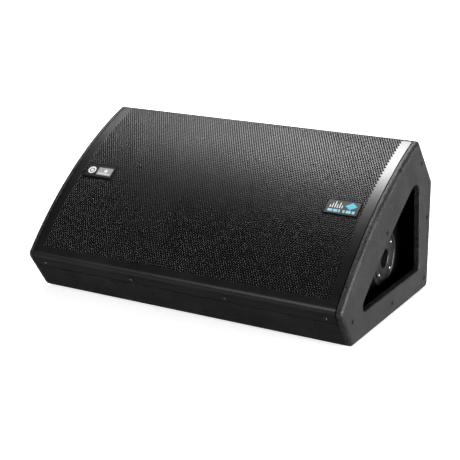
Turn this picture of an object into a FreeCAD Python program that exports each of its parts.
import FreeCAD, Part
import math
import os

from FreeCAD import Placement, Rotation, Vector

# Stage monitor wedge, in millimetres. +X is the width, -Y the audience side with the sloping grille,
# +Z is up. The model is drawn with Y measured back from the front lip and Z up from the cabinet's
# underside, and save() moves it so that the origin is at the bottom centre of the whole object.

# ---- Driving dimensions -------------------------------------------------------------------------
WIDTH = 660.0
SIDE_THICKNESS = 11.0
PANEL_THICKNESS = 15.0
FOOT_HEIGHT = 4.0
SIDE_EDGE_RADIUS = 7.5

# Side profile: (distance back from the lip, height above the cabinet's underside).
LIP = (0.0, 76.4)
TOE = (54.0, 0.0)
HEEL = (423.5, 0.0)
SHOULDER = (416.5, 217.1)
CREST = (334.6, 310.6)
FRONT_CROWN = 26.8
CORNER_RADII = ((LIP, 14.0), (TOE, 11.0), (HEEL, 11.0), (SHOULDER, 13.0), (CREST, 6.0))
REAR_WALL_Y = 403.0

GRILLE_THICKNESS = 1.5
GRILLE_SIDE_GAP = 2.0
KICK_FLANGE = 27.0
CREST_FLANGE = 22.0
SEAM = 1.4
FOAM_THICKNESS = 5.0
BAFFLE_DEPTH = 12.0

HAND_RECESS = 48.0
INNER_WALL_THICKNESS = 12.0
OPENING_RIM_RADIUS = 3.0
BATTEN = 21.0

POLE_SOCKET_AT = (300.5, 85.0)
POLE_BORE_RADIUS = 18.0
POLE_BORE_DEPTH = 70.0
POLE_FLANGE_RADIUS = 55.0

WOOFER_FRAME_RADIUS = 156.0
WOOFER_CUTOUT_RADIUS = 141.0
PORT_X = 214.0
PORT_RADIUS = 38.0

BADGE_X = 260.0
BADGE_WIDTH = 66.0
BADGE_HEIGHT = 34.0
BADGE_UP_SLOPE = 205.5
BADGE_PLATE_THICKNESS = 1.2
BADGE_FACE_THICKNESS = 0.6
BADGE_BORDER = 2.0

# ---- Values that follow -------------------------------------------------------------------------
HALF_WIDTH = WIDTH / 2
SIDE_INNER_X = HALF_WIDTH - SIDE_THICKNESS
INNER_WALL_X = HALF_WIDTH - HAND_RECESS
CHAMBER_X = INNER_WALL_X - INNER_WALL_THICKNESS
GRILLE_X = SIDE_INNER_X - GRILLE_SIDE_GAP
SLOPE_ANGLE = math.degrees(math.atan2(CREST[1] - LIP[1], CREST[0] - LIP[0]))
CHORD = math.hypot(CREST[0] - LIP[0], CREST[1] - LIP[1])

# Faces of the profile, walked so that the inside lies to the left of each one.
FACES = {
    "kick": (LIP, TOE),
    "floor": (TOE, HEEL),
    "back": (HEEL, SHOULDER),
    "slope": (SHOULDER, CREST),
    "front": (CREST, LIP),
    "rear_wall": ((REAR_WALL_Y, 0.0), (REAR_WALL_Y, 200.0)),
}


# ---- Profile geometry ---------------------------------------------------------------------------
def moved_face(name, depth):
    """Start point and unit direction of a profile face after moving it inward by depth."""
    (y0, z0), (y1, z1) = FACES[name]
    length = math.hypot(y1 - y0, z1 - z0)
    dy, dz = (y1 - y0) / length, (z1 - z0) / length
    return (y0 - dz * depth, z0 + dy * depth), (dy, dz)


def on_face(name, along, depth):
    """Point a distance along a profile face from its start, moved inward by depth."""
    (y, z), (dy, dz) = moved_face(name, depth)
    return (y + dy * along, z + dz * along)


def corner(face_a, depth_a, face_b, depth_b):
    """Where two profile faces meet once each is moved inward by its own depth."""
    (ay, az), (ady, adz) = moved_face(face_a, depth_a)
    (by, bz), (bdy, bdz) = moved_face(face_b, depth_b)
    along = ((by - ay) * bdz - (bz - az) * bdy) / (ady * bdz - adz * bdy)
    return (ay + ady * along, az + adz * along)


def at(x, spot):
    return Vector(x, spot[0], spot[1])


def prism(edges, x0, x1):
    """Solid from a closed loop of edges drawn at x = 0, reaching from x0 to x1."""
    face = Part.Face(Part.Wire(edges))
    face.translate(Vector(x0, 0, 0))
    return face.extrude(Vector(x1 - x0, 0, 0))


def board(spots, x0, x1):
    """Flat-sided panel whose cross-section is the polygon through spots."""
    points = [at(0, spot) for spot in spots]
    edges = [Part.LineSegment(a, b).toShape() for a, b in zip(points, points[1:] + points[:1])]
    return prism(edges, x0, x1)


def bowed_edge(start, end, bow):
    """Arc between two profile spots that bulges to the right of the direction of travel."""
    dy, dz = end[0] - start[0], end[1] - start[1]
    length = math.hypot(dy, dz)
    middle = ((start[0] + end[0]) / 2 + bow * dz / length, (start[1] + end[1]) / 2 - bow * dy / length)
    return Part.Arc(at(0, start), at(0, middle), at(0, end)).toShape()


def straight_edge(start, end):
    return Part.LineSegment(at(0, start), at(0, end)).toShape()


def round_corners(solid, corner_radii):
    """Round the edges that run along X through each listed profile spot."""
    for (y, z), radius in corner_radii:
        edges = [
            edge for edge in solid.Edges
            if all(abs(v.Y - y) < 0.01 and abs(v.Z - z) < 0.01 for v in edge.Vertexes)
        ]
        solid = solid.makeFillet(radius, edges)
    return solid


def end_face(solid, x):
    """The flat face of a solid that lies in the plane at x."""
    return next(
        face for face in solid.Faces
        if abs(face.BoundBox.XMin - x) < 1e-4 and abs(face.BoundBox.XMax - x) < 1e-4
    )


def outline_wire():
    """Side outline of the wedge with its rounded corners, at x = 0."""
    edges = [
        straight_edge(LIP, TOE),
        straight_edge(TOE, HEEL),
        straight_edge(HEEL, SHOULDER),
        straight_edge(SHOULDER, CREST),
        bowed_edge(CREST, LIP, FRONT_CROWN),
    ]
    return end_face(round_corners(prism(edges, 0, 10), CORNER_RADII), 0).OuterWire


OUTLINE = outline_wire()


def outline_solid(depth, x0, x1):
    """Everything inside the side outline moved inward by depth (outward if negative)."""
    wire = OUTLINE.makeOffset2D(-depth) if depth else OUTLINE
    face = Part.Face(wire)
    face.translate(Vector(x0, 0, 0))
    return face.extrude(Vector(x1 - x0, 0, 0))


# ---- General solids -----------------------------------------------------------------------------
def box(x0, x1, y0, y1, z0, z1):
    return Part.makeBox(x1 - x0, y1 - y0, z1 - z0, Vector(x0, y0, z0))


def centred_box(width, depth, height, x, y, z):
    """Box centred on x and z that starts at y and reaches depth towards +Y."""
    return box(x - width / 2, x + width / 2, y, y + depth, z - height / 2, z + height / 2)


def rod(radius, start, direction, length):
    return Part.makeCylinder(radius, length, start, direction)


def turned(spots):
    """Solid of revolution about Z through (radius, height) spots."""
    points = [Vector(r, 0, z) for r, z in spots]
    face = Part.Face(Part.makePolygon(points + points[:1]))
    return face.revolve(Vector(0, 0, 0), Vector(0, 0, 1), 360)


def ring(inner, outer, z0, z1):
    return turned([(inner, z0), (outer, z0), (outer, z1), (inner, z1)])


def around_z(shape, count, start_angle=0.0):
    """Copies of a shape spread evenly around Z."""
    copies = []
    for index in range(count):
        copy = shape.copy()
        copy.rotate(Vector(0, 0, 0), Vector(0, 0, 1), start_angle + index * 360.0 / count)
        copies.append(copy)
    return copies


def aimed(shape, position, direction):
    """Move a shape drawn about the origin so that its +Z points along direction at position."""
    copy = shape.copy()
    turn = Placement(position, Rotation(Vector(0, 0, 1), direction))
    copy.Placement = turn.multiply(shape.Placement)
    return copy


def mirrored(shape):
    return shape.mirror(Vector(0, 0, 0), Vector(1, 0, 0))


def cut_all(shape, tools):
    for tool in tools:
        shape = shape.cut(tool)
    return shape


def cross_slot(size):
    """Cross recess of a screw head, drawn with its mouth at z = 0."""
    bar = Part.makeBox(size, size * 0.2, size * 0.3, Vector(-size / 2, -size * 0.1, -size * 0.3))
    crossed = bar.copy()
    crossed.rotate(Vector(0, 0, 0), Vector(0, 0, 1), 90)
    return bar.fuse(crossed)


# Each kind of screw is drawn with a cross recess, or without it as the tool that cuts its hole.
def countersunk_screw(head_radius, shank_radius, length, recess):
    """Flat-headed screw: the top of the head is at z = 0 and the shank points down."""
    sink = head_radius - shank_radius
    blank = turned([
        (0, 0), (head_radius, 0), (head_radius, -0.4), (shank_radius, -0.4 - sink),
        (shank_radius, -length + 2), (0, -length),
    ])
    return blank.cut(cross_slot(head_radius * 1.2)) if recess else blank


def pan_screw(head_radius, head_height, shank_radius, length, recess):
    """Round-headed screw: the underside of the head is at z = 0 and the shank points down."""
    blank = turned([
        (0, head_height), (head_radius * 0.6, head_height), (head_radius * 0.9, head_height * 0.7),
        (head_radius, 0), (shank_radius, 0), (shank_radius, -length + 2), (0, -length),
    ])
    slot = cross_slot(head_radius * 1.1)
    slot.translate(Vector(0, 0, head_height))
    return blank.cut(slot) if recess else blank


# ---- Cabinet ------------------------------------------------------------------------------------
CREST_SCREW = (350.9, 263.4)
FLOOR_SCREW = (233.2, 24.8)
KICK_SCREW = (49.4, 49.7)
BAFFLE_SCREW = (193.9, 170.2)
BACK_PANEL_SCREWS = ((395.5, 149.1), (398.5, 24.0))
SIDE_SCREW_SPOTS = (CREST_SCREW, FLOOR_SCREW, KICK_SCREW, BAFFLE_SCREW) + BACK_PANEL_SCREWS
SIDE_SCREW_HEAD_RADIUS = 4.2
SIDE_SCREW_SINK = 1.0
OPENING_TOE = (75.0, 50.5)
OPENING_HEEL = (370.4, 50.5)
OPENING_CROWN = (345.0, 244.0)
OPENING_RADII = ((OPENING_TOE, 12.0), (OPENING_HEEL, 8.0), (OPENING_CROWN, 26.0))
OPENING_BOW = 8.0


def side_screws(recess):
    """Side panel screws, sunk below the face, or the tools that cut their counterbored holes."""
    screw = countersunk_screw(SIDE_SCREW_HEAD_RADIUS, 2.0, 30.0, recess)
    if not recess:
        screw = screw.fuse(Part.makeCylinder(SIDE_SCREW_HEAD_RADIUS + 0.6, 4.0))
    screw.translate(Vector(0, 0, -SIDE_SCREW_SINK))
    right = [aimed(screw, at(HALF_WIDTH, spot), Vector(1, 0, 0)) for spot in SIDE_SCREW_SPOTS]
    return right + [mirrored(item) for item in right]


def hand_opening(x0, x1):
    """Rounded three-cornered opening in the side panel, its front edge bowed like the grille."""
    edges = [
        straight_edge(OPENING_TOE, OPENING_HEEL),
        straight_edge(OPENING_HEEL, OPENING_CROWN),
        bowed_edge(OPENING_CROWN, OPENING_TOE, OPENING_BOW),
    ]
    return round_corners(prism(edges, x0, x1), OPENING_RADII)


def rim_edges(solid, x, outer):
    """Edges of the end face at x: its outline, or the outline of its opening."""
    face = end_face(solid, x)
    wires = [wire for wire in face.Wires if wire.isSame(face.OuterWire) == outer]
    return [edge for wire in wires for edge in wire.Edges]


def side_panel():
    """Right-hand side panel with rounded outer edges and the hand opening."""
    panel = outline_solid(0, SIDE_INNER_X, HALF_WIDTH)
    panel = panel.makeFillet(SIDE_EDGE_RADIUS, rim_edges(panel, HALF_WIDTH, True))
    panel = panel.cut(hand_opening(SIDE_INNER_X - 1, HALF_WIDTH + 1))
    return panel.makeFillet(OPENING_RIM_RADIUS, rim_edges(panel, HALF_WIDTH, False))


def inner_wall():
    """Right-hand wall of the acoustic chamber, at the bottom of the hand recess."""
    return board([
        corner("kick", PANEL_THICKNESS, "floor", PANEL_THICKNESS),
        corner("floor", PANEL_THICKNESS, "rear_wall", PANEL_THICKNESS),
        corner("rear_wall", PANEL_THICKNESS, "slope", PANEL_THICKNESS),
        corner("slope", PANEL_THICKNESS, "front", BAFFLE_DEPTH + PANEL_THICKNESS),
        corner("front", BAFFLE_DEPTH + PANEL_THICKNESS, "kick", PANEL_THICKNESS),
    ], CHAMBER_X, INNER_WALL_X)


def cross_panel(spots):
    """Full-width panel trimmed to the side outline, so that nothing stands proud of it."""
    return board(spots, -SIDE_INNER_X, SIDE_INNER_X).common(outline_solid(0, -WIDTH, WIDTH))


def bottom_panel():
    return cross_panel([
        corner("kick", PANEL_THICKNESS, "floor", 0),
        HEEL,
        corner("back", 0, "floor", PANEL_THICKNESS),
        corner("kick", PANEL_THICKNESS, "floor", PANEL_THICKNESS),
    ])


def kick_panel():
    """Front plinth panel, rebated at its top for the grille's lower flange."""
    return cross_panel([
        TOE,
        corner("kick", PANEL_THICKNESS, "floor", 0),
        corner("kick", PANEL_THICKNESS, "front", BAFFLE_DEPTH),
        corner("kick", GRILLE_THICKNESS, "front", BAFFLE_DEPTH),
        on_face("kick", KICK_FLANGE + SEAM, GRILLE_THICKNESS),
        on_face("kick", KICK_FLANGE + SEAM, 0),
    ])


def top_panel():
    """Rear slope above the shoulder, rebated at the crest for the grille's upper flange."""
    along = math.hypot(SHOULDER[0] - CREST[0], SHOULDER[1] - CREST[1]) - CREST_FLANGE - SEAM
    return cross_panel([
        SHOULDER,
        on_face("slope", along, 0),
        on_face("slope", along, GRILLE_THICKNESS),
        corner("slope", GRILLE_THICKNESS, "front", BAFFLE_DEPTH),
        corner("slope", PANEL_THICKNESS, "front", BAFFLE_DEPTH),
        corner("slope", PANEL_THICKNESS, "back", 0),
    ])


def back_panel():
    panel = cross_panel([
        corner("floor", PANEL_THICKNESS, "rear_wall", 0),
        corner("rear_wall", 0, "slope", PANEL_THICKNESS),
        corner("rear_wall", PANEL_THICKNESS, "slope", PANEL_THICKNESS),
        corner("floor", PANEL_THICKNESS, "rear_wall", PANEL_THICKNESS),
    ])
    return panel.cut(amp_opening(REAR_WALL_Y - PANEL_THICKNESS - 1, REAR_WALL_Y + 1))


def baffle():
    """Front panel behind the grille, with the woofer cut-out and two port holes."""
    depth = BAFFLE_DEPTH + PANEL_THICKNESS
    panel = cross_panel([
        corner("front", BAFFLE_DEPTH, "kick", PANEL_THICKNESS),
        corner("front", depth, "kick", PANEL_THICKNESS),
        corner("front", depth, "slope", PANEL_THICKNESS),
        corner("front", BAFFLE_DEPTH, "slope", PANEL_THICKNESS),
    ])
    down = -PANEL_THICKNESS - 1
    holes = [Part.makeCylinder(WOOFER_CUTOUT_RADIUS, PANEL_THICKNESS + 2, Vector(0, 0, down))]
    for x in (-PORT_X, PORT_X):
        holes.append(Part.makeCylinder(PORT_RADIUS + 2, PANEL_THICKNESS + 2, Vector(x, 0, down)))
    return cut_all(panel, [on_baffle(hole) for hole in holes])


def corner_battens():
    """Glue battens along the four inner corners of the acoustic chamber."""
    t = PANEL_THICKNESS
    front = BAFFLE_DEPTH + t
    battens = []
    for face_a, depth_a, face_b, depth_b in (
        ("kick", t, "floor", t),
        ("floor", t, "rear_wall", t),
        ("slope", t, "front", front),
        ("front", front, "kick", t),
    ):
        battens.append(board([
            corner(face_a, depth_a, face_b, depth_b),
            corner(face_a, depth_a, face_b, depth_b + BATTEN),
            corner(face_a, depth_a + BATTEN, face_b, depth_b + BATTEN),
            corner(face_a, depth_a + BATTEN, face_b, depth_b),
        ], -CHAMBER_X, CHAMBER_X))
    return battens


def side_blocks():
    """Blocks in the hand recesses that take the side screws which miss the back panel."""
    blocks = []
    for face, depth, spot in (
        ("slope", PANEL_THICKNESS, CREST_SCREW),
        ("floor", PANEL_THICKNESS, FLOOR_SCREW),
        ("kick", PANEL_THICKNESS, KICK_SCREW),
        ("front", BAFFLE_DEPTH + PANEL_THICKNESS, BAFFLE_SCREW),
    ):
        (y, z), (dy, dz) = moved_face(face, depth)
        along = (spot[0] - y) * dy + (spot[1] - z) * dz
        reach = BATTEN / 2 + abs((spot[0] - y) * -dz + (spot[1] - z) * dy)
        half_length = 0.8 * BATTEN
        blocks.append(board([
            on_face(face, along - half_length, depth), on_face(face, along + half_length, depth),
            on_face(face, along + half_length, depth + reach),
            on_face(face, along - half_length, depth + reach),
        ], INNER_WALL_X, SIDE_INNER_X))
    return blocks + [mirrored(block) for block in blocks]


# ---- Grille, foam and badges --------------------------------------------------------------------
GRILLE_SCREW_X = (-296.0, -99.0, 99.0, 296.0)
GRILLE_SCREW_ALONG = 19.0


def front_zone(x0, x1):
    """Region of the profile from the kick seam, round the front, to the seam behind the crest."""
    slope_length = math.hypot(SHOULDER[0] - CREST[0], SHOULDER[1] - CREST[1])
    return board([
        on_face("kick", KICK_FLANGE, -20), on_face("kick", KICK_FLANGE, 20),
        on_face("slope", slope_length - CREST_FLANGE, 20),
        on_face("slope", slope_length - CREST_FLANGE, -20),
        corner("slope", -20, "front", -80), corner("front", -80, "kick", -20),
    ], x0, x1)


def front_sheet(outer_depth, inner_depth, half_width):
    """Bent sheet that follows the outline between two depths."""
    shell = outline_solid(outer_depth, -half_width, half_width)
    return shell.cut(outline_solid(inner_depth, -WIDTH, WIDTH))


def grille():
    return front_sheet(0, GRILLE_THICKNESS, GRILLE_X).common(front_zone(-WIDTH, WIDTH))


def grille_foam():
    """Open-cell foam lining behind the sloping part of the grille, clear of the baffle."""
    sheet = front_sheet(GRILLE_THICKNESS, GRILLE_THICKNESS + FOAM_THICKNESS, GRILLE_X - 2)
    return sheet.common(board([
        corner("front", 9, "kick", 12), corner("front", 9, "slope", 8),
        corner("front", -60, "slope", 8), corner("front", -60, "kick", 12),
    ], -WIDTH, WIDTH))


def kick_direction():
    _, (dy, dz) = moved_face("kick", 0)
    return Vector(0, dz, -dy)


def grille_screws(recess):
    screw = pan_screw(4.5, 1.8, 2.0, 14.0, recess)
    spot = on_face("kick", GRILLE_SCREW_ALONG, 0)
    return [aimed(screw, at(x, spot), kick_direction()) for x in GRILLE_SCREW_X]


def front_patch(x, width, height, low, high):
    """Plate that follows the grille's surface, between two heights above that surface."""
    sheet = outline_solid(-high, -HALF_WIDTH, HALF_WIDTH).cut(outline_solid(-low, -WIDTH, WIDTH))
    middle = CHORD - BADGE_UP_SLOPE
    return sheet.common(board([
        on_face("front", middle - height / 2, 0), on_face("front", middle + height / 2, 0),
        on_face("front", middle + height / 2, -60), on_face("front", middle - height / 2, -60),
    ], x - width / 2, x + width / 2))


# ---- Pole socket and feet -----------------------------------------------------------------------
FOOT_SPOTS = ((-270.0, 92.0), (270.0, 92.0), (-270.0, 372.0), (270.0, 372.0))
POLE_SCREW_RADIUS = 37.0


def pole_socket():
    """Flanged cup for a loudspeaker pole, its mouth facing out of the right hand recess."""
    wall = POLE_BORE_RADIUS + 3
    floor = -POLE_BORE_DEPTH + 5
    cup = turned([
        (POLE_BORE_RADIUS, 2.5), (POLE_BORE_RADIUS + 1, 3.5), (28, 4.5), (30, 4.5), (31, 3.5),
        (42, 3.5), (43, 2.5), (43, 1.2), (47.5, 1.2), (47.5, 2.5), (48.5, 3.5),
        (POLE_FLANGE_RADIUS - 1, 3.5), (POLE_FLANGE_RADIUS, 2), (POLE_FLANGE_RADIUS, 0), (wall, 0),
        (wall, floor), (0, floor), (0, floor + 3), (POLE_BORE_RADIUS, floor + 3),
    ])
    return aimed(cup, at(INNER_WALL_X, POLE_SOCKET_AT), Vector(1, 0, 0))


def pole_socket_screws(recess):
    screw = pan_screw(4.2, 2.2, 2.0, 20.0, recess)
    screw.translate(Vector(POLE_SCREW_RADIUS, 0, 3.5))
    centre = at(INNER_WALL_X, POLE_SOCKET_AT)
    return [aimed(item, centre, Vector(1, 0, 0)) for item in around_z(screw, 4, 45)]


def rubber_foot():
    """Low rubber disc with a chamfered tread and a sunk screw hole."""
    return turned([
        (2.2, 0), (2.2, -1.6), (5.0, -1.6), (5.0, -FOOT_HEIGHT), (12.5, -FOOT_HEIGHT),
        (14.5, -FOOT_HEIGHT + 2), (15, 0),
    ])


def rubber_feet():
    return [placed(rubber_foot(), Vector(x, y, 0)) for x, y in FOOT_SPOTS]


def foot_screws(recess):
    screw = pan_screw(4.2, 1.8, 2.0, 14.0, recess)
    return [aimed(screw, Vector(x, y, -1.6), Vector(0, 0, -1)) for x, y in FOOT_SPOTS]


def placed(shape, offset):
    copy = shape.copy()
    copy.translate(offset)
    return copy


# ---- Woofer, drawn about its own axis with z = 0 on the baffle's front ---------------------------
CONE_TOP = (107.0, 4.0)
CONE_NECK = (38.6, -42.0)
SURROUND_PEAK = 8.5
BACK_PLATE_Z = -96.0
BACK_PLATE_BOTTOM = -106.0
THROAT_RADIUS = 12.5


def on_baffle(shape):
    """Carry a shape from the woofer's own axis to the middle of the baffle's front face."""
    centre = at(0, on_face("front", CHORD / 2, BAFFLE_DEPTH))
    tilt = Placement(centre, Rotation(Vector(1, 0, 0), SLOPE_ANGLE))
    copy = shape.copy()
    copy.Placement = tilt.multiply(shape.Placement)
    return copy


def woofer_screws(recess):
    screw = pan_screw(4.2, 2.4, 2.2, 22.0, recess)
    screw.translate(Vector(148.5, 0, 8))
    return around_z(screw, 8, 22.5)


def woofer_basket():
    """Cast frame: mounting ring, conical wall with six windows, spider ledge and magnet seat."""
    shell = turned([
        (129, 2), (WOOFER_FRAME_RADIUS, 0), (WOOFER_FRAME_RADIUS, 5), (129, 5),
    ])
    wall = turned([
        (139, 0), (84, -54), (79, -54), (79, -68), (46, -68), (46, -64), (70, -64), (70, -52), (79.5, -52),
        (133, 2),
    ])
    window = Part.makeBox(70, 62, 34, Vector(84, -31, -48))
    basket = shell.fuse(wall)
    basket = cut_all(basket, around_z(window, 6))
    return cut_all(basket, woofer_screws(False))


def woofer_gasket():
    return cut_all(ring(139, WOOFER_FRAME_RADIUS, 5, 8), woofer_screws(False))


def cone_surround():
    """Half-roll rubber edge between the frame and the cone."""
    middle = 119.0
    roll = [
        (middle + SURROUND_PEAK * math.cos(math.radians(angle)),
         6 + SURROUND_PEAK * math.sin(math.radians(angle)))
        for angle in range(0, 181, 15)
    ]
    inner = SURROUND_PEAK - 1
    under = [
        (middle + inner * math.cos(math.radians(angle)), 6 + inner * math.sin(math.radians(angle)))
        for angle in range(180, -1, -15)
    ]
    return turned([(138, 5), (138, 6)] + roll + [(105, 6), (105, 5), (middle - inner, 5)] + under
                  + [(middle + inner, 5)])


def woofer_cone():
    """Paper cone with a flat edge under the surround and a neck glued to the voice-coil former."""
    return turned([
        (105, 5), (110, 5), (110, 4), CONE_TOP, (75, -21.5), (52, -35.5), (CONE_NECK[0] + 1.2, -43.2),
        (CONE_NECK[0], -43.2), (CONE_NECK[0], -41.2), (51, -34), (74, -20), (105, 4.2),
    ])


def voice_coil():
    former = ring(38.0, 38.6, -84, -41.2)
    winding = ring(38.6, 39.4, -82, -64)
    return former.fuse(winding)


def spider():
    """Corrugated cloth disc that centres the voice coil, with a flat rim on the basket's ledge."""
    steps = 12
    line = [
        (38.6 + 30.4 * index / steps, -51.0 + 1.2 * math.sin(index * math.pi / 2))
        for index in range(steps + 1)
    ] + [(78, -51.0)]
    return turned(line + [(radius, z - 1.0) for radius, z in line[::-1]])


def woofer_top_plate():
    return ring(40.4, 74, -76, -68)


def woofer_magnet():
    return ring(46, 78, BACK_PLATE_Z, -76)


def woofer_back_plate():
    """Rear plate and pole piece in one, bored for the high-frequency throat."""
    return turned([
        (THROAT_RADIUS, -66), (37.0, -66), (37.0, BACK_PLATE_Z), (74, BACK_PLATE_Z),
        (74, BACK_PLATE_BOTTOM), (THROAT_RADIUS, BACK_PLATE_BOTTOM),
    ])


def horn_flare():
    """Small horn on the pole piece that opens inside the cone."""
    return turned([
        (THROAT_RADIUS, -66), (36, -66), (36, -62), (THROAT_RADIUS + 4, -60), (21, -44), (30, -31),
        (43, -23), (43, -21), (29, -28.5), (19, -42), (THROAT_RADIUS, -60),
    ])


def hf_housing():
    """Rear cover and magnet case of the compression driver."""
    top = BACK_PLATE_BOTTOM
    return turned([
        (THROAT_RADIUS, top), (48, top), (48, top - 26), (42, top - 34), (0, top - 38),
        (0, top - 30), (28, top - 26), (28, top - 10), (THROAT_RADIUS, top - 8),
    ])


def hf_diaphragm():
    """Domed diaphragm with its short voice coil, free inside the compression driver."""
    rim = BACK_PLATE_BOTTOM - 18
    dome = [(24 * math.cos(math.radians(a)), rim + 5 * math.sin(math.radians(a))) for a in range(0, 91, 15)]
    shell = [(r * 0.97, z - 0.6) for r, z in dome[::-1]]
    return turned([(24, rim - 3)] + dome + shell + [(23.2, rim - 3)])


def port_tubes():
    """Flanged reflex port tubes on each side of the woofer."""
    tube = turned([
        (PORT_RADIUS, -95), (PORT_RADIUS + 2, -95), (PORT_RADIUS + 2, 0), (47, 0), (47, 1.5), (44, 2.5),
        (PORT_RADIUS + 3, 2.5), (PORT_RADIUS, -2),
    ])
    return [placed(tube, Vector(x, 0, 0)) for x in (-PORT_X, PORT_X)]


def damping_felt():
    """Felt mat on the chamber's floor under the drive unit."""
    front = corner("kick", PANEL_THICKNESS + BATTEN, "floor", PANEL_THICKNESS)[0] + 6
    rear = REAR_WALL_Y - PANEL_THICKNESS - BATTEN - 6
    return box(-240, 240, front, rear, PANEL_THICKNESS, PANEL_THICKNESS + 9)


# ---- Amplifier module on the back ----------------------------------------------------------------
GASKET_THICKNESS = 1.5
PLATE_THICKNESS = 3.0
PLATE_Y = REAR_WALL_Y + GASKET_THICKNESS
OUTSIDE_Y = PLATE_Y + PLATE_THICKNESS
AMP_Z = 108.0
AMP_HALF_WIDTH = 155.0
AMP_HALF_HEIGHT = 80.0
AMP_CUT_HALF_WIDTH = 142.0
AMP_CUT_HALF_HEIGHT = 67.0
XLR_Z = 150.0
XLR_INPUT_X = 36.0
XLR_LINK_X = 72.0
LATCH_Z = XLR_Z + 12.4
XLR_BARREL_RADIUS = 11.4
XLR_SHELL_RADIUS = 9.6
XLR_CONTACT_CIRCLE = 3.8
XLR_PIN_RADIUS = 1.2
VOLUME_AT = (120.0, 150.0)
PRESET_AT = (120.0, 108.0)
PRESET_REST_TURN = 135.0
BUTTON_AT = (36.0, 112.0)
LED_X = (60.0, 72.0, 84.0)
LED_Z = 112.0
INLET_AT = (54.0, 62.0)
ROCKER_AT = (118.0, 62.0)
BOARD_Y = 366.0
BACKWARD = Vector(0, 1, 0)


def amp_opening(y0, y1):
    return box(-AMP_CUT_HALF_WIDTH, AMP_CUT_HALF_WIDTH, y0, y1,
               AMP_Z - AMP_CUT_HALF_HEIGHT, AMP_Z + AMP_CUT_HALF_HEIGHT)


def amp_outline(y0, y1):
    plate = box(-AMP_HALF_WIDTH, AMP_HALF_WIDTH, y0, y1, AMP_Z - AMP_HALF_HEIGHT, AMP_Z + AMP_HALF_HEIGHT)
    upright = [
        edge for edge in plate.Edges
        if len(edge.Vertexes) == 2 and abs(edge.Vertexes[0].Y - edge.Vertexes[1].Y) > 0.5
    ]
    return plate.makeFillet(6.0, upright)


def amp_screws(recess):
    """Eight screws round the edge of the amplifier plate."""
    screw = pan_screw(4.0, 2.2, 1.9, 16.0, recess)
    x, z = AMP_HALF_WIDTH - 6.5, AMP_HALF_HEIGHT - 6.5
    spots = [(-x, -z), (0, -z), (x, -z), (-x, 0), (x, 0), (-x, z), (0, z), (x, z)]
    return [aimed(screw, Vector(sx, OUTSIDE_Y, AMP_Z + sz), BACKWARD) for sx, sz in spots]


def amp_gasket():
    return amp_outline(REAR_WALL_Y, PLATE_Y).cut(amp_opening(REAR_WALL_Y - 1, PLATE_Y + 1))


def y_rod(radius, x, z, y0, y1):
    return rod(radius, Vector(x, y0, z), BACKWARD, y1 - y0)


def amp_plate():
    """Aluminium connector plate with a cut-out for each control and socket."""
    low, high = PLATE_Y - 1, OUTSIDE_Y + 1
    holes = [
        y_rod(11.5, XLR_INPUT_X, XLR_Z, low, high),
        y_rod(11.5, XLR_LINK_X, XLR_Z, low, high),
        y_rod(3.4, VOLUME_AT[0], VOLUME_AT[1], low, high),
        y_rod(3.4, PRESET_AT[0], PRESET_AT[1], low, high),
        y_rod(3.4, BUTTON_AT[0], BUTTON_AT[1], low, high),
        y_rod(4.0, HEATSINK_X - 40, AMP_Z, low, high),
        centred_box(30, high - low, 22.5, INLET_AT[0], low, INLET_AT[1]),
        centred_box(21.5, high - low, 25, ROCKER_AT[0], low, ROCKER_AT[1]),
    ]
    holes += [y_rod(1.6, x, LED_Z, low, high) for x in LED_X]
    holes.append(centred_box(9.0, high - low, 4.4, XLR_INPUT_X, low, LATCH_Z))
    return cut_all(amp_outline(PLATE_Y, OUTSIDE_Y), holes)


HEATSINK_X = -76.0
HEATSINK_HALF_WIDTH = 62.0
FIN_COUNT = 16
FIN_THICKNESS = 2.2
FIN_TOP = 10.0


def amp_heatsink():
    """Finned aluminium heat sink on the outside of the plate."""
    x0, x1 = HEATSINK_X - HEATSINK_HALF_WIDTH, HEATSINK_X + HEATSINK_HALF_WIDTH
    z0, z1 = AMP_Z - 66, AMP_Z + 66
    sink = box(x0, x1, OUTSIDE_Y, OUTSIDE_Y + 2.5, z0, z1)
    pitch = (x1 - x0 - FIN_THICKNESS) / (FIN_COUNT - 1)
    for index in range(FIN_COUNT):
        left = x0 + index * pitch
        sink = sink.fuse(box(left, left + FIN_THICKNESS, OUTSIDE_Y + 2.5, OUTSIDE_Y + FIN_TOP, z0, z1))
    return sink.removeSplitter()


def toroid_transformer():
    """Wound ring with rounded edges, standing on the inside of the amplifier plate."""
    winding = turned([(16, 3), (16, 33), (19, 36), (41, 36), (44, 33), (44, 3), (41, 0), (19, 0)])
    return aimed(winding, Vector(HEATSINK_X, PLATE_Y, AMP_Z), Vector(0, -1, 0))


def transformer_bolt():
    """Centre bolt and clamping dish that hold the transformer to the plate."""
    bolt = turned([
        (0, 0), (4, 0), (4, 36), (30, 36), (30, 37.5), (7, 37.5), (7, 42), (0, 42),
    ])
    return aimed(bolt, Vector(HEATSINK_X, PLATE_Y, AMP_Z), Vector(0, -1, 0))


def amp_board():
    """Circuit board of the amplifier, held parallel to the plate."""
    return box(12, 138, BOARD_Y, BOARD_Y + 1.6, AMP_Z - 62, AMP_Z + 62)


BOARD_POST_SPOTS = ((18.0, 52.0), (132.0, 52.0), (18.0, 164.0), (132.0, 164.0))


def board_posts():
    return [y_rod(3.0, x, z, BOARD_Y + 1.6, PLATE_Y) for x, z in BOARD_POST_SPOTS]


def amp_capacitors():
    """Two pairs of capacitors and a single one, standing on the circuit board."""
    spots = [(40, 140, 11, 30), (66, 140, 11, 30), (40, 80, 7, 18), (60, 80, 7, 18), (110, 130, 9, 22)]
    return [
        rod(radius, Vector(x, BOARD_Y, z), Vector(0, -1, 0), height) for x, z, radius, height in spots
    ]


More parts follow.
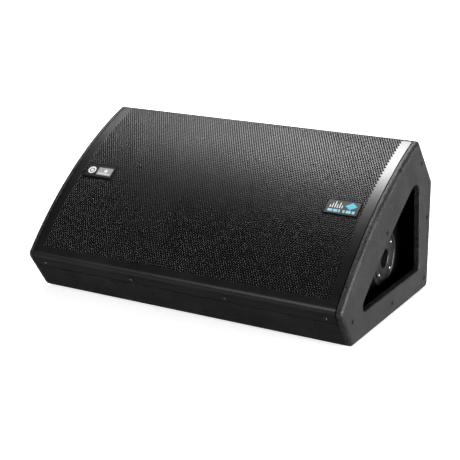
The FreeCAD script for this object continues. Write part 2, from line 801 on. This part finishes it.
def xlr_flange(x):
    flange = centred_box(26, 2, 31, x, OUTSIDE_Y, XLR_Z)
    upright = [
        edge for edge in flange.Edges
        if len(edge.Vertexes) == 2 and abs(edge.Vertexes[0].Y - edge.Vertexes[1].Y) > 0.5
    ]
    return flange.makeFillet(3.0, upright)


def xlr_body(x):
    """Flange with rounded corners and the round barrel behind it."""
    return xlr_flange(x).fuse(y_rod(XLR_BARREL_RADIUS, x, XLR_Z, PLATE_Y - 14, OUTSIDE_Y))


def pin_spots(x):
    """Centres of the three contacts, on a circle round the connector's axis."""
    return [
        (x + XLR_CONTACT_CIRCLE * math.cos(math.radians(angle)),
         XLR_Z + XLR_CONTACT_CIRCLE * math.sin(math.radians(angle)))
        for angle in (30, 150, 270)
    ]


def xlr_input():
    """Female three-pole socket with a shell groove, contact holes and a window for its latch."""
    groove = y_rod(XLR_SHELL_RADIUS, XLR_INPUT_X, XLR_Z, OUTSIDE_Y - 12, OUTSIDE_Y + 3)
    groove = groove.cut(y_rod(XLR_SHELL_RADIUS - 2, XLR_INPUT_X, XLR_Z, OUTSIDE_Y - 12, OUTSIDE_Y + 3))
    window = centred_box(9.0, 14, 4.4, XLR_INPUT_X, OUTSIDE_Y - 9, LATCH_Z)
    contacts = [y_rod(1.3, x, z, OUTSIDE_Y - 11, OUTSIDE_Y + 3) for x, z in pin_spots(XLR_INPUT_X)]
    return cut_all(xlr_body(XLR_INPUT_X), [groove, window] + contacts)


def xlr_latch():
    """Press tab above the female socket that releases the plug."""
    return centred_box(8.0, 6.5, 3.6, XLR_INPUT_X, OUTSIDE_Y - 2.5, LATCH_Z)


def xlr_link():
    """Male three-pole socket: an open shell with the pin seat at its bottom."""
    cavity = y_rod(XLR_SHELL_RADIUS, XLR_LINK_X, XLR_Z, OUTSIDE_Y - 12, OUTSIDE_Y + 3)
    seats = [y_rod(XLR_PIN_RADIUS, x, z, OUTSIDE_Y - 15, OUTSIDE_Y + 3) for x, z in pin_spots(XLR_LINK_X)]
    return cut_all(xlr_body(XLR_LINK_X), [cavity] + seats)


def xlr_pins():
    spots = pin_spots(XLR_LINK_X)
    return [y_rod(XLR_PIN_RADIUS, x, z, OUTSIDE_Y - 15, OUTSIDE_Y - 1.5) for x, z in spots]


def mains_inlet():
    """Three-pole appliance inlet with a cavity for the connector."""
    x, z = INLET_AT
    body = centred_box(50, 2.5, 26, x, OUTSIDE_Y, z).fuse(centred_box(29.6, 20, 22.1, x, OUTSIDE_Y - 20, z))
    cavity = centred_box(24.4, 20, 16.6, x, OUTSIDE_Y - 16, z)
    return cut_all(body, [cavity] + inlet_blade_shapes())


def inlet_blade_shapes():
    x, z = INLET_AT
    spots = ((x - 7, z - 2), (x, z + 2), (x + 7, z - 2))
    return [centred_box(2.0, 15, 4.0, sx, OUTSIDE_Y - 18, sz) for sx, sz in spots]


def rocker_frame():
    """Bezel and body of the mains switch, open for the rocker."""
    x, z = ROCKER_AT
    frame = centred_box(24, 1.5, 30, x, OUTSIDE_Y, z).fuse(centred_box(21, 14, 24.6, x, OUTSIDE_Y - 14, z))
    return frame.cut(centred_box(16.6, 20, 20.8, x, OUTSIDE_Y - 11, z))


ROCKER_RADIUS = 10.0
ROCKER_PIVOT_Y = OUTSIDE_Y - 2.5
ROCKER_REST_TILT = 7.0


def power_rocker():
    """Rocker of the mains switch, at rest in its off position with the upper end pressed in."""
    x, z = ROCKER_AT
    y = ROCKER_PIVOT_Y
    drum = rod(ROCKER_RADIUS, Vector(x - 8, y, z), Vector(1, 0, 0), 16)
    keep = Part.Face(Part.makePolygon([
        Vector(x - 8, y - 4, z - 11), Vector(x - 8, y - 4, z + 11), Vector(x - 8, y + 6.6, z + 11),
        Vector(x - 8, y + 4.2, z), Vector(x - 8, y + 6.6, z - 11), Vector(x - 8, y - 4, z - 11),
    ])).extrude(Vector(16, 0, 0))
    rocker = drum.common(keep)
    rocker.rotate(Vector(x, y, z), Vector(1, 0, 0), ROCKER_REST_TILT)
    return rocker


def control_knob(spot, radius, flutes, pointer_turn):
    """Fluted knob on its shaft, its pointer groove turned from the upright by pointer_turn."""
    knob = turned([
        (0, 0.6), (radius, 0.6), (radius, 2.2), (radius * 0.84, 3.4), (radius * 0.78, 9.0),
        (radius * 0.7, 9.8), (0, 9.8),
    ])
    flute = Part.makeCylinder(0.9, 12, Vector(radius * 0.86, 0, 3.2))
    knob = cut_all(knob, around_z(flute, flutes, 180.0 / flutes))
    pointer = Part.makeBox(0.9, radius, 1.0, Vector(-0.45, -radius, 9.2))
    pointer.rotate(Vector(0, 0, 0), Vector(0, 0, 1), pointer_turn)
    shaft = Part.makeCylinder(3.0, 12, Vector(0, 0, -11))
    knob = knob.cut(pointer).fuse(shaft)
    return aimed(knob, Vector(spot[0], OUTSIDE_Y, spot[1]), BACKWARD)


def control_pots():
    """Bodies of the two rotary controls behind the plate."""
    pots = []
    for x, z in (VOLUME_AT, PRESET_AT):
        body = centred_box(16, 9, 16, x, PLATE_Y - 9, z)
        pots.append(body.cut(y_rod(3.05, x, z, PLATE_Y - 12, PLATE_Y + 1)))
    return pots


def ground_lift_button():
    button = turned([(0, 3.6), (2.2, 3.6), (3.0, 2.8), (3.0, -7), (0, -7)])
    return aimed(button, Vector(BUTTON_AT[0], OUTSIDE_Y, BUTTON_AT[1]), BACKWARD)


def status_leds():
    """Three domed indicators that fill their holes in the plate."""
    lamp = turned([(0, 1.2), (0.9, 0.9), (1.5, 0.2), (1.6, 0), (1.6, -6), (0, -6)])
    return [aimed(lamp, Vector(x, OUTSIDE_Y, LED_Z), BACKWARD) for x in LED_X]


# ---- Export --------------------------------------------------------------------------------------
def save(name, shapes, to_origin):
    solids = [solid for shape in shapes for solid in shape.Solids]
    moved = Part.makeCompound(solids) if len(solids) > 1 else solids[0].copy()
    moved.translate(to_origin)
    moved.exportStep("parts/" + name + ".step")


def socket_hole():
    """Clearance hole for the pole cup through the right inner wall."""
    start = at(CHAMBER_X - 1, POLE_SOCKET_AT)
    return rod(POLE_BORE_RADIUS + 3, start, Vector(1, 0, 0), INNER_WALL_THICKNESS + 2)


def cabinet_nodes():
    side_holes = side_screws(False)
    socket_holes = pole_socket_screws(False)
    panel = cut_all(side_panel(), side_holes)
    wall = inner_wall()
    return {
        "side_panel_right": [panel],
        "side_panel_left": [mirrored(panel)],
        "inner_wall_right": [cut_all(wall, socket_holes + [socket_hole()])],
        "inner_wall_left": [mirrored(wall)],
        "bottom_panel": [cut_all(bottom_panel(), foot_screws(False))],
        "kick_panel": [cut_all(kick_panel(), grille_screws(False))],
        "top_panel": [top_panel()],
        "back_panel": [cut_all(back_panel(), amp_screws(False) + side_holes)],
        "baffle": [cut_all(baffle(), [on_baffle(screw) for screw in woofer_screws(False)])],
        "corner_battens": corner_battens(),
        "side_blocks": [cut_all(block, side_holes) for block in side_blocks()],
        "side_panel_screws": side_screws(True),
        "pole_socket": [cut_all(pole_socket(), socket_holes)],
        "pole_socket_screws": pole_socket_screws(True),
        "rubber_feet": rubber_feet(),
        "foot_screws": foot_screws(True),
        "port_tubes": [on_baffle(tube) for tube in port_tubes()],
        "damping_felt": [damping_felt()],
    }


def front_nodes():
    nodes = {
        "grille": [cut_all(grille(), grille_screws(False))],
        "grille_foam": [grille_foam()],
        "grille_screws": grille_screws(True),
    }
    plate = BADGE_PLATE_THICKNESS
    border = 2 * BADGE_BORDER
    for side, x in (("left", -BADGE_X), ("right", BADGE_X)):
        nodes[side + "_badge_plate"] = [front_patch(x, BADGE_WIDTH, BADGE_HEIGHT, 0, plate)]
        nodes[side + "_badge_face"] = [
            front_patch(x, BADGE_WIDTH - border, BADGE_HEIGHT - border, plate, plate + BADGE_FACE_THICKNESS)
        ]
    return nodes


def woofer_nodes():
    makers = (
        woofer_basket, woofer_gasket, cone_surround, woofer_cone, voice_coil, spider, woofer_top_plate,
        woofer_magnet, woofer_back_plate, horn_flare, hf_housing, hf_diaphragm,
    )
    nodes = {maker.__name__: [on_baffle(maker())] for maker in makers}
    nodes["woofer_screws"] = [on_baffle(screw) for screw in woofer_screws(True)]
    return nodes


def amplifier_nodes():
    holes = amp_screws(False)
    return {
        "amp_screws": amp_screws(True),
        "amp_plate": [cut_all(amp_plate(), holes)],
        "amp_gasket": [cut_all(amp_gasket(), holes)],
        "amp_heatsink": [amp_heatsink()],
        "toroid_transformer": [toroid_transformer()],
        "transformer_bolt": [transformer_bolt()],
        "amp_board": [amp_board()],
        "board_posts": board_posts(),
        "amp_capacitors": amp_capacitors(),
        "xlr_input": [xlr_input()],
        "xlr_latch": [xlr_latch()],
        "xlr_link": [xlr_link()],
        "xlr_pins": xlr_pins(),
        "mains_inlet": [mains_inlet()],
        "inlet_blades": inlet_blade_shapes(),
        "rocker_frame": [rocker_frame()],
        "power_rocker": [power_rocker()],
        "volume_knob": [control_knob(VOLUME_AT, 9.0, 24, 0)],
        "preset_knob": [control_knob(PRESET_AT, 7.5, 18, PRESET_REST_TURN)],
        "control_pots": control_pots(),
        "ground_lift_button": [ground_lift_button()],
        "status_leds": status_leds(),
    }


def main():
    os.makedirs("parts", exist_ok=True)
    span = OUTLINE.BoundBox
    to_origin = Vector(0, -(span.YMin + span.YMax) / 2, FOOT_HEIGHT)
    for nodes in (cabinet_nodes(), front_nodes(), woofer_nodes(), amplifier_nodes()):
        for name, shapes in nodes.items():
            save(name, shapes, to_origin)


main()
